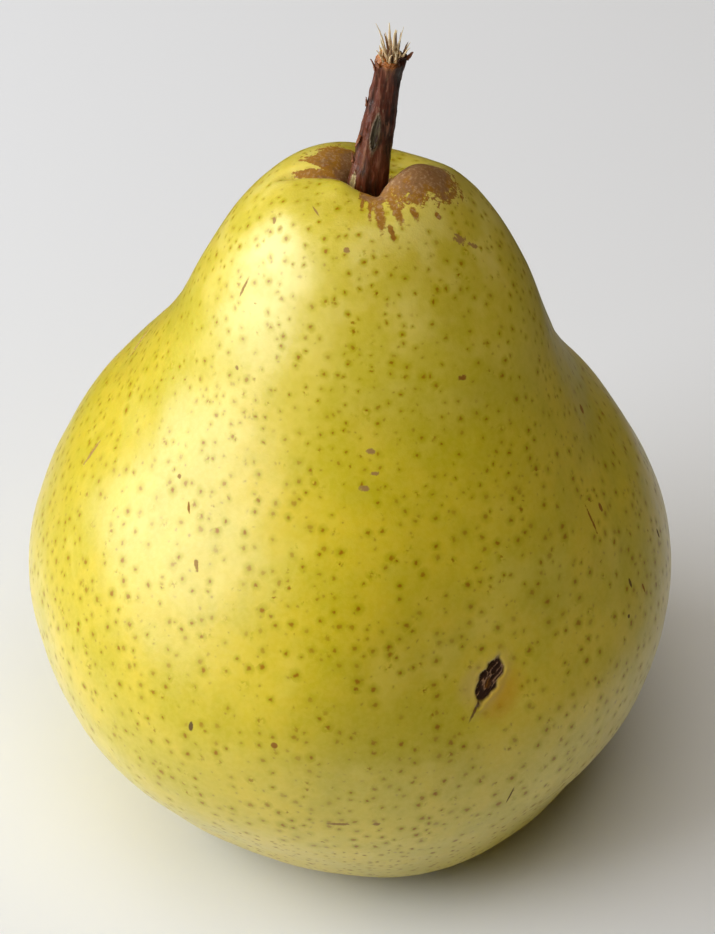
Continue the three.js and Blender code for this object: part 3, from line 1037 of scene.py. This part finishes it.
# Marks on the skin: kind, ends as azimuth and height about the upright axis, half width, how ragged.
SKIN_MARKS = [
    ("rust", (-9.2, 59.3), (-8.6, 58.7), 0.62, 0.12),
    ("rust", (-56.0, 75.0), (-54.0, 75.0), 0.34, 0.4),
    ("rust", (-102, 36.7), (-102, 36.3), 0.42, 0.15),
    ("dark", (-118, 35.6), (-118, 34.4), 0.32, 0.2),
    ("dark", (-61.2, 25.2), (-62.2, 22.0), 0.14, 0.1),
    ("dark", (-9, 40.6), (-9, 39.4), 0.3, 0.15),
    ("dark", (-26, 41.5), (-26, 40.5), 0.26, 0.15),
    ("rust", (-22, 39.5), (-22, 38.5), 0.2, 0.2),
    ("dark", (-30, 38.4), (-30, 37.6), 0.26, 0.15),
    ("rust", (-25, 52.5), (-25, 51.5), 0.35, 0.2),
    ("rust", (-30, 53.5), (-30, 50.8), 0.18, 0.35),
    ("grey", (-85, 68.2), (-83, 68.0), 0.32, 0.4),
    ("grey", (-84, 66.2), (-82, 66.4), 0.24, 0.4),
    ("grey", (-87, 64.2), (-85, 64.6), 0.34, 0.4),
    ("grey", (-138, 60), (-136, 60), 0.28, 0.3),
    ("grey", (-171.5, 54.2), (-170.5, 51.8), 0.26, 0.35),
    ("grey", (-131.5, 74), (-130.5, 74), 0.24, 0.4),
    ("grey", (-142, 83), (-142, 81), 0.2, 0.3),
    ("grey", (-124.5, 53.4), (-123.5, 52.6), 0.3, 0.5),
    ("rust", (-131.5, 58.4), (-130.5, 57.6), 0.2, 0.3),
    ("grey", (-94.6, 13.2), (-80.8, 20.2), 0.13, 0.08),
    ("grey", (-56, 17.6), (-46, 20.4), 0.13, 0.1),
    ("grey", (-56, 16.6), (-47, 18.6), 0.11, 0.1),
    ("grey", (-94, 23.0), (-90, 23.3), 0.26, 0.3),
    ("grey", (-86, 24.0), (-84.6, 24.0), 0.3, 0.3),
    ("russet", (-33, 87.4), (-28, 87.0), 0.6, 0.75),
    ("russet", (-28, 86.2), (-25, 85.2), 0.3, 0.7),
    ("russet", (-92.5, 88.6), (-89, 88.2), 0.3, 0.4),
    ("grey", (-127, 90.4), (-116, 90.2), 0.12, 0.2),
    ("grey", (-150, 88.4), (-146, 88.2), 0.25, 0.3),
    ("russet", (160, 61), (166, 59), 0.45, 0.7),
    ("grey", (118, 44), (121, 40), 0.2, 0.3),
    ("rust", (72, 62), (73.5, 61.5), 0.5, 0.3),
    ("dark", (38, 33), (39, 32), 0.3, 0.2),
    ("grey", (62, 27), (84, 21), 0.12, 0.1),
    ("rust", (142, 24), (144, 23.5), 0.45, 0.3),
]
MARK_COLOURS = {
    "rust": (0.27, 0.085, 0.008, 1),
    "dark": (0.085, 0.030, 0.016, 1),
    "grey": (0.33, 0.18, 0.06, 1),
    "russet": (0.36, 0.19, 0.07, 1),
}
SHORTEST_MARK = 0.3


def mark_between(shader, start, end, half_width, ragged, wear, soft=0.25):
    """A mark from one point to another, given in millimetres, its edge broken by the value called wear."""
    span = end - start
    length = max(float(np.linalg.norm(span)), 1e-3)
    return shader.group(
        MARK,
        Centre=tuple(map(float, (start + end) / 2)),
        Direction=tuple(map(float, span / length)),
        Length=max(length / 2, SHORTEST_MARK, half_width),
        Width=half_width,
        Ragged=ragged * 1.5,
        Soft=soft,
        Noise=wear,
    )["Mask"]


def strongest(shader, masks):
    result = masks[0]
    for mask in masks[1:]:
        result = shader.math("MAXIMUM", result, mask)
    return result


def russet_mask(shader, place, wear):
    """Corky russet round the stalk: reaches out by azimuth, with a broken edge and streaks that run down."""
    from_pit = shader.vector("SUBTRACT", place, (*PIT_CENTRE, 0.0))
    x, y, z = shader.parts(from_pit)
    azimuth = shader.math("ARCTAN2", y, x)
    share = shader.math("MULTIPLY_ADD", azimuth, 0.5 / math.pi, 0.5)
    stops = [((turn + 180) / 360, distance / RUSSET_FARTHEST) for turn, distance in RUSSET_REACH]
    reach = shader.math("MULTIPLY", shader.ramp(share, stops), RUSSET_FARTHEST)
    distance = shader.math("POWER", shader.math("ADD", shader.square(x), shader.square(y)), 0.5)
    torn = shader.math("SUBTRACT", shader.noise(place, 0.55, 5, 0.68), 0.5)
    fine = shader.math("SUBTRACT", shader.noise(place, 2.1, 2, 0.6), 0.5)
    edge = shader.math("SUBTRACT", reach, distance)
    edge = shader.math("MULTIPLY_ADD", torn, 6.4, edge)
    edge = shader.math("MULTIPLY_ADD", fine, 3.6, edge)
    near = shader.fade(edge, -0.25, 0.35)
    streaks = [
        mark_between(shader, crown_point(turn, start), crown_point(turn, end), half, 0.35, wear)
        for turn, start, end, half in RUSSET_STREAKS
    ]
    near = strongest(shader, [near] + streaks)
    return shader.math("MULTIPLY", near, shader.fade(z, CROWN_LOWEST, CROWN_LOWEST + 2)), edge


def skin_colour(shader, place):
    """Green-yellow ground with broad patches, a paler top that is partly waxy bloom and partly painted sheen,
    fine mottling and pores; gives where it is corky too.
    """
    patches = shader.noise(place, 0.045, 3)
    blotches = shader.noise(place, 0.17, 3, 0.6)
    ground = shader.math("MULTIPLY_ADD", blotches, 0.45, shader.math("MULTIPLY", patches, 0.6))
    colour = shader.mix(shader.fade(ground, 0.38, 0.66), SKIN_YELLOW, SKIN_GREEN)
    pale = shader.fade(shader.noise(shader.vector("ADD", place, (31.0, 7.0, 12.0)), 0.12, 2), 0.56, 0.72)
    colour = shader.mix(shader.math("MULTIPLY", pale, 0.25), colour, SKIN_PALE)
    # Paler towards the top between these heights: partly waxy bloom, partly painted sheen from the light
    # above.
    bloom_and_sheen = shader.fade(shader.parts(place)[2], BLOOM_AND_SHEEN_LOWEST, BLOOM_AND_SHEEN_FULL)
    bloom_and_sheen = shader.math("MULTIPLY", bloom_and_sheen, shader.fade(blotches, 0.30, 0.62, 0.65, 0.15))
    colour = shader.mix(bloom_and_sheen, colour, SKIN_BLOOM_AND_SHEEN)
    mottle = shader.group(GRAIN, Size=0.75, Detail=3.0, Shift=(2.0, 9.0, 4.0))["Value"]
    colour = shader.mix(shader.fade(mottle, 0.0, 1.0, 0.0, 0.16), colour, SKIN_PALE)
    bands = [shader.group(PORES, **sizes) for sizes in PORE_BANDS]
    faint = shader.group(PORES, **FAINT_PORES)
    halos = strongest(shader, [band["Halos"] for band in bands])
    cores = strongest(shader, [band["Cores"] for band in bands])
    colour = shader.mix(shader.math("MULTIPLY", faint["Halos"], 0.35), colour, PORE_HALO)
    colour = shader.mix(halos, colour, PORE_HALO)
    colour = shader.mix(shader.math("MULTIPLY", faint["Cores"], 0.5), colour, PORE_CORE)
    colour = shader.mix(shader.math("MULTIPLY", cores, 0.95), colour, PORE_CORE)
    corky = shader.math("MAXIMUM", cores, shader.math("MULTIPLY", halos, 0.7))
    return colour, corky


def scar_colour(shader, wear, colour):
    """Bruised yellow and pale rings round the scar, and the dark, ridged cork in it."""
    centre, along, half_length = scar_axes()
    for shift, length, width, tint, strength in SCAR_BRUISES:
        middle = centre + np.array(shift)
        mask = mark_between(shader, middle - along * length, middle + along * length, width, 0.12, wear, 0.6)
        colour = shader.mix(shader.math("MULTIPLY", mask, strength), colour, tint)
    tail = mark_between(shader, centre - along * (half_length + 2.0), centre - along * 1.2, 0.2, 0.15, wear)
    colour = shader.mix(shader.math("MULTIPLY", tail, 0.85), colour, SCAR_TAIL)
    sore = shader.add("ShaderNodeAttribute", attribute_name="scar").outputs["Fac"]
    ridge = shader.add("ShaderNodeAttribute", attribute_name="scar ridge").outputs["Fac"]
    heart = mark_between(shader, centre - along * 1.1, centre + along * 0.6, 0.4, 0.2, wear, 0.5)
    cork = shader.mix(heart, SCAR_DARK, SCAR_HEART)
    cork = shader.mix(shader.fade(ridge, 0.62, 1.0), cork, SCAR_RIDGES)
    return shader.mix(sore, colour, cork), sore


def russet_colour(shader, place, inside, cork):
    """Mauve-brown cork with pale specks, more orange towards its edge and at the back left, and darker deep
    inside, beside the stalk, which is painted shade.
    """
    worn = shader.group(GRAIN, Size=2.2, Detail=4.0, Shift=(5.0, 2.0, 7.0))["Value"]
    edge_tint = shader.math("MULTIPLY_ADD", worn, 3.8, shader.math("MULTIPLY", inside, -0.9))
    edge_tint = shader.math("ADD", edge_tint, shader.fade(shader.parts(place)[0], -2.5, 0.5, 2.0, 0.0))
    tint = shader.mix(shader.fade(edge_tint, -0.8, 1.8), RUSSET_MAUVE, RUSSET_ORANGE)
    tint = shader.mix(shader.fade(cork, 0.5, 0.95, 0.0, 0.6), tint, RUSSET_FLECK)
    tint = shader.mix(shader.fade(cork, 0.0, 0.4, 0.45, 0.0), tint, RUSSET_DARK_AND_SHADE)
    # Darker deep inside the russet, beside the stalk and over the right lobe: painted shade.
    return shader.mix(shader.fade(inside, 5.2, 7.6, 0.0, 0.75), tint, RUSSET_DARK_AND_SHADE)


def marked_colour(shader, wear, colour):
    """The skin's colour with its scuffs and spots, and where they are."""
    marked = []
    for kind, tone in MARK_COLOURS.items():
        masks = [
            mark_between(shader, skin_point(*start), skin_point(*end), half, ragged, wear)
            for name, start, end, half, ragged in SKIN_MARKS
            if name == kind
        ]
        marked.append(strongest(shader, masks))
        colour = shader.mix(shader.math("MULTIPLY", marked[-1], 0.88), colour, tone)
    return colour, marked


def skin_height(shader, place, cork):
    """The skin's fine relief: orange-peel waves, grain, and cork on the crown."""
    peel = shader.group(GRAIN, Size=0.9, Detail=2.0, Shift=(4.0, 4.0, 1.0))["Value"]
    grain = shader.group(GRAIN, Size=0.22, Detail=2.0, Shift=(9.0, 3.0, 5.0))["Value"]
    height = shader.math("MULTIPLY_ADD", peel, 0.010, shader.math("MULTIPLY", grain, 0.004))
    crown = shader.fade(shader.parts(place)[2], CROWN_LOWEST + 6, CROWN_LOWEST + 12)
    return shader.math("MULTIPLY_ADD", shader.math("MULTIPLY", crown, cork), 0.02, height)


def skin_material():
    """Waxy skin: glossy where it is smooth, matt where it is corky."""
    material, shader, surface = new_material("Pear skin")
    place = shader.millimetres()
    wear = shader.noise(place, 1.9, 3, 0.6)
    cork = shader.group(GRAIN, Size=0.42, Detail=4.0, Shift=(1.0, 5.0, 3.0))["Value"]
    russet, inside = russet_mask(shader, place, wear)
    colour, corky = skin_colour(shader, place)
    tint = russet_colour(shader, place, inside, cork)
    colour = shader.mix(shader.math("MULTIPLY", russet, 0.93), colour, tint)
    colour, marked = marked_colour(shader, wear, colour)
    colour, sore = scar_colour(shader, wear, colour)
    shader.put(surface["Base Color"], colour)
    dull = strongest(shader, [russet, sore] + marked)
    matt = shader.math("MAXIMUM", dull, corky)
    finish = shader.group(GRAIN, Size=1.3, Detail=2.0, Shift=(6.0, 1.0, 2.0))["Value"]
    shader.put(surface["Roughness"], shader.mix_value(dull, shader.fade(finish, 0, 1, 0.31, 0.38), 0.72))
    shader.put(surface["Normal"], shader.bump(skin_height(shader, place, cork)))
    surface["IOR"].default_value = 1.42
    shader.put(surface["Coat Weight"], shader.mix_value(matt, 0.85, 0.0))
    surface["Coat Roughness"].default_value = 0.36
    surface["Subsurface Weight"].default_value = 0.22
    surface["Subsurface Radius"].default_value = (1.0, 0.6, 0.15)
    surface["Subsurface Scale"].default_value = 0.0025
    return material


# ------------------------------------------------------------------ the stalk's and the calyx's materials

BARK_BROWN = (0.12, 0.020, 0.003, 1)
BARK_DARK = (0.030, 0.008, 0.003, 1)
BARK_COPPER = (0.33, 0.13, 0.06, 1)
BARK_TORN = (0.48, 0.16, 0.025, 1)
LESION_GREY = (0.070, 0.055, 0.026, 1)
LESION_RIM = (0.20, 0.135, 0.075, 1)
SPLIT_WOOD = (0.62, 0.50, 0.26, 1)
FIBRE_CREAM = (0.80, 0.64, 0.40, 1)
FIBRE_TAN = (0.52, 0.32, 0.14, 1)
FIBRE_DARK = (0.07, 0.045, 0.03, 1)
FIBRE_BROWN = (0.22, 0.11, 0.05, 1)
SEPAL_BROWN = (0.13, 0.075, 0.04, 1)
SEPAL_PALE = (0.38, 0.27, 0.15, 1)
SEPAL_DARK = (0.035, 0.02, 0.012, 1)


def bark_mark(shader, spot, grow, wear, soft=0.2):
    share, azimuth, half_length, half_width = spot
    middle = stalk_point(share, azimuth)
    reach = stalk_rise() * half_length * grow
    return mark_between(shader, middle - reach, middle + reach, half_width * grow, 0.18, wear, soft)


def bark_colour(shader):
    """Red-brown bark with dark and coppery lengthwise streaks, and lichen-pale flecks."""
    streaks = shader.group(GRAIN, Size=0.55, Stretch=7.0, Detail=4.0, Shift=(3.0, 1.0, 2.0))["Value"]
    broad = shader.group(GRAIN, Size=1.5, Stretch=4.0, Detail=3.0, Shift=(8.0, 6.0, 1.0))["Value"]
    flecks = shader.group(GRAIN, Size=0.42, Stretch=1.6, Detail=3.0, Shift=(1.0, 9.0, 6.0))["Value"]
    colour = shader.mix(shader.fade(broad, 0.35, 0.9), BARK_BROWN, BARK_DARK)
    colour = shader.mix(shader.fade(streaks, 0.55, 1.0, 0.0, 0.65), colour, BARK_COPPER)
    colour = shader.mix(shader.fade(streaks, 0.0, 0.3, 0.6, 0.0), colour, BARK_DARK)
    colour = shader.mix(shader.fade(flecks, 0.84, 1.0, 0.0, 0.55), colour, LESION_RIM)
    return colour, streaks


def bark_material():
    material, shader, surface = new_material("Pear stalk bark")
    place = shader.millimetres()
    wear = shader.noise(place, 1.6, 3, 0.6)
    colour, streaks = bark_colour(shader)
    lines = shader.group(GRAIN, Size=0.16, Stretch=12.0, Detail=2.0, Shift=(2.0, 7.0, 9.0))["Value"]
    colour = shader.mix(bark_mark(shader, LESION, 1.05, wear), colour, LESION_RIM)
    grey = shader.mix(shader.fade(lines, 0.35, 0.8), LESION_GREY, BARK_DARK)
    colour = shader.mix(bark_mark(shader, LESION, 0.88, wear), colour, grey)
    colour = shader.mix(bark_mark(shader, BARK_SPLIT, 0.95, wear), colour, SPLIT_WOOD)
    height = shader.parts(place)[2]
    end = float(stalk_line(1.0)[2])
    rim = shader.math("MULTIPLY_ADD", wear, 1.6, height)
    torn = shader.fade(rim, end - 0.9, end + 0.3)
    across = float(stalk_line(1.0)[0])
    left = shader.fade(shader.parts(place)[0], across - 0.4, across + 1.0, 1, 0)
    # The torn end is darkened all round and turned orange on its left, the window side: partly the torn
    # bark's own colours, partly painted light on the lit side and painted shade on the far side.
    colour = shader.mix(shader.math("MULTIPLY", torn, 0.9), colour, BARK_DARK)
    colour = shader.mix(shader.math("MULTIPLY", shader.math("MULTIPLY", torn, left), 0.95), colour, BARK_TORN)
    shader.put(surface["Base Color"], colour)
    shader.put(surface["Roughness"], shader.fade(streaks, 0.0, 1.0, 0.34, 0.55))
    bump = shader.math("MULTIPLY_ADD", lines, 0.03, shader.math("MULTIPLY", streaks, 0.05))
    shader.put(surface["Normal"], shader.bump(bump))
    surface["Specular IOR Level"].default_value = 0.6
    surface["Coat Weight"].default_value = 0.25
    surface["Coat Roughness"].default_value = 0.35
    return material


def flake_material():
    """Bark that has peeled and dried paler and more orange than the rest."""
    material, shader, surface = new_material("Peeling bark")
    streaks = shader.group(GRAIN, Size=0.3, Stretch=6.0, Detail=3.0, Shift=(4.0, 2.0, 8.0))["Value"]
    colour = shader.mix(streaks, BARK_COPPER, BARK_BROWN)
    shader.put(surface["Base Color"], shader.mix(shader.fade(streaks, 0.75, 1.0, 0, 0.7), colour, BARK_TORN))
    shader.put(surface["Roughness"], shader.fade(streaks, 0, 1, 0.5, 0.7))
    shader.put(surface["Normal"], shader.bump(shader.math("MULTIPLY", streaks, 0.04)))
    return material


def fibre_material(name, pale, deep, shift):
    """Dry wood fibre, browner in streaks, and deeper in colour low down where it rises out of the torn cup,
    which is painted shade.
    """
    material, shader, surface = new_material(name)
    place = shader.millimetres()
    streaks = shader.group(GRAIN, Size=0.25, Stretch=9.0, Detail=3.0, Shift=shift)["Value"]
    end = float(stalk_line(1.0)[2])
    # Deeper colour below the rim, where the fibres rise out of the torn cup: painted shade.
    low = shader.fade(shader.parts(place)[2], end - 0.4, end + 1.4, 1.0, 0.0)
    tone = shader.math("MULTIPLY_ADD", low, 0.35, shader.math("MULTIPLY", streaks, 0.8))
    shader.put(surface["Base Color"], shader.mix(shader.fade(tone, 0.35, 1.0), pale, deep))
    shader.put(surface["Roughness"], shader.fade(streaks, 0, 1, 0.65, 0.85))
    shader.put(surface["Normal"], shader.bump(shader.math("MULTIPLY", streaks, 0.03)))
    surface["Subsurface Weight"].default_value = 0.15
    surface["Subsurface Radius"].default_value = (1.0, 0.7, 0.4)
    surface["Subsurface Scale"].default_value = 0.0004
    return material


def calyx_material(name, deep, mid, pale, shift):
    """Shrivelled brown leaf: mottled, with pale worn parts and a dull wrinkled surface."""
    material, shader, surface = new_material(name)
    blotches = shader.group(GRAIN, Size=1.4, Detail=4.0, Shift=shift)["Value"]
    wrinkles = shader.group(GRAIN, Size=0.35, Detail=3.0, Shift=(shift[2], shift[0], shift[1]))["Value"]
    colour = shader.mix(shader.fade(blotches, 0.2, 0.8), deep, mid)
    colour = shader.mix(shader.fade(wrinkles, 0.6, 1.0, 0.0, 0.7), colour, pale)
    shader.put(surface["Base Color"], colour)
    shader.put(surface["Roughness"], shader.fade(wrinkles, 0, 1, 0.7, 0.9))
    shader.put(surface["Normal"], shader.bump(shader.math("MULTIPLY", wrinkles, 0.09)))
    return material


# ------------------------------------------------------------------ the floor's material

PAPER = (0.83, 0.85, 0.895, 1)
# Near black that glossy rays see on the floor away from the pear: painted shade in reflections.
PAPER_DARK_IN_REFLECTIONS = (0.05, 0.04, 0.025, 1)
ROOM_SEEN = (0.6, 0.6, 0.61, 1)


def floor_material():
    """Pale paper that glossy things mirror only close by: farther out, glossy rays see it painted near black,
    a painted shade in the skin's reflections. Far away it fades into the room's tone.
    """
    material, shader, surface = new_material("Pale paper floor")
    distance = shader.vector("LENGTH", shader.add("ShaderNodeTexCoord").outputs["Object"])
    ray = shader.add("ShaderNodeLightPath").outputs
    # Glossy rays see the floor beyond 7 to 15 cm as near black: painted shade in the skin's reflections.
    reflected_dark = shader.math("MULTIPLY", ray["Is Glossy Ray"], shader.fade(distance, 0.07, 0.15))
    backdrop = shader.math("MULTIPLY", ray["Is Camera Ray"], shader.fade(distance, 0.45, 1.1))
    colour = shader.mix(reflected_dark, PAPER, PAPER_DARK_IN_REFLECTIONS)
    shader.put(surface["Base Color"], shader.mix(backdrop, colour, (0.0, 0.0, 0.0, 1)))
    shader.put(surface["Emission Color"], shader.mix(backdrop, (0.0, 0.0, 0.0, 1), ROOM_SEEN))
    surface["Emission Strength"].default_value = 1.0
    surface["Roughness"].default_value = 0.9
    surface["Specular IOR Level"].default_value = 0.2
    return material


# ------------------------------------------------------------------ the set

ROOM_FILL = (0.032, 0.020, 0.008, 1)
ROOM_REFLECTED = (0.010, 0.007, 0.003, 1)
FLOOR_HALF_WIDTH = 4.0  # metres


def build_floor():
    mesh = bpy.data.meshes.new("floor")
    half = FLOOR_HALF_WIDTH
    corners = [(-half, -half, 0), (half, -half, 0), (half, half, 0), (-half, half, 0)]
    mesh.from_pydata(corners, [], [(0, 1, 2, 3)])
    floor = bpy.data.objects.new("floor", mesh)
    bpy.context.scene.collection.objects.link(floor)
    mesh.materials.append(floor_material())


def add_area_light(name, place, target, size, power, colour):
    light = bpy.data.lights.new(name, "AREA")
    light.shape = "RECTANGLE"
    light.size, light.size_y = size
    light.energy = power
    light.color = colour
    lamp = bpy.data.objects.new(name, light)
    lamp.location = place
    lamp.rotation_euler = (Vector(target) - Vector(place)).to_track_quat("-Z", "Y").to_euler()
    bpy.context.scene.collection.objects.link(lamp)
    return lamp


def build_lights():
    """A broad window close on the left, and fill from the ceiling, the far wall and the room."""
    add_area_light("window", (-0.715, -0.075, 0.35), (0, 0, 0.05), (0.85, 0.62), 8.3, (0.97, 1.0, 1.03))
    ceiling = add_area_light("ceiling", (-0.08, -0.3, 1.35), (0, 0, 0), (1.2, 1.0), 8.9, (1, 0.94, 0.84))
    ceiling.visible_glossy = False
    far_wall = add_area_light("far wall", (-0.14, 0.80, 0.43), (0, 0, 0.05), (0.9, 0.7), 1.1, (1, 0.95, 0.88))
    far_wall.visible_glossy = False
    world = bpy.data.worlds.new("room")
    world.use_nodes = True
    shader = Shader(world.node_tree)
    background = world.node_tree.nodes["Background"]
    ray = shader.add("ShaderNodeLightPath").outputs
    colour = shader.mix(ray["Is Glossy Ray"], ROOM_FILL, ROOM_REFLECTED)
    shader.put(background.inputs["Color"], shader.mix(ray["Is Camera Ray"], colour, ROOM_SEEN))
    bpy.context.scene.world = world


CAMERA_ELEVATION = math.radians(38.8)
CAMERA_DISTANCE = 0.450
CAMERA_TARGET = Vector((0.00101, 0, 0.0462))


def build_camera():
    data = bpy.data.cameras.new("camera")
    data.sensor_width = 36
    data.lens = 135.8
    data.clip_start = 0.01
    camera = bpy.data.objects.new("camera", data)
    back = Vector((0, -math.cos(CAMERA_ELEVATION), math.sin(CAMERA_ELEVATION)))
    camera.location = CAMERA_TARGET + back * CAMERA_DISTANCE
    camera.rotation_euler = (math.pi / 2 - CAMERA_ELEVATION, 0, 0)
    bpy.context.scene.collection.objects.link(camera)
    bpy.context.scene.camera = camera
    bpy.context.scene.view_settings.view_transform = "Standard"


# ------------------------------------------------------------------ the pear

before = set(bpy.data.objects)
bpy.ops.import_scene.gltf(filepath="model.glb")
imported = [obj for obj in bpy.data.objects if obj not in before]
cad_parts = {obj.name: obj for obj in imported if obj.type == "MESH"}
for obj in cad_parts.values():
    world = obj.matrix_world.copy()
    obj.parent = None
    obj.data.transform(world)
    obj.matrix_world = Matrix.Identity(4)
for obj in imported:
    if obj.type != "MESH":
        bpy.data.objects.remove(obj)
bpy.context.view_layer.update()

build_camera()
build_floor()
build_lights()

fruit = build_fruit()
fruit.data.materials.append(skin_material())
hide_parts("fruit")

stalk = build_stalk()
stalk.data.materials.append(bark_material())
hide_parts("stalk")

flakes = build_flakes()
flakes.data.materials.append(flake_material())

cream_fibres = build_fibres("pear_stalk_fibres_pale", CREAM_FIBRES + short_fibres(SHORT_FIBRES), 40)
cream_fibres.data.materials.append(fibre_material("Pale wood fibre", FIBRE_CREAM, FIBRE_TAN, (1.0, 2.0, 3.0)))
dark_fibres = build_fibres("pear_stalk_fibres_dark", DARK_FIBRES, 90)
dark_fibres.data.materials.append(fibre_material("Dark wood fibre", FIBRE_BROWN, FIBRE_DARK, (6.0, 4.0, 1.0)))

sepal_finish = calyx_material("Dry sepal", SEPAL_DARK, SEPAL_BROWN, SEPAL_PALE, (2.0, 5.0, 7.0))
for piece, node in build_sepals():
    piece.data.materials.append(sepal_finish)
    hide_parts(node)

stamens = build_stamens()
stamen_finish = calyx_material("Dry stamens", SEPAL_DARK, FIBRE_BROWN, SEPAL_PALE, (7.0, 3.0, 2.0))
stamens.data.materials.append(stamen_finish)
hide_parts("stamens")
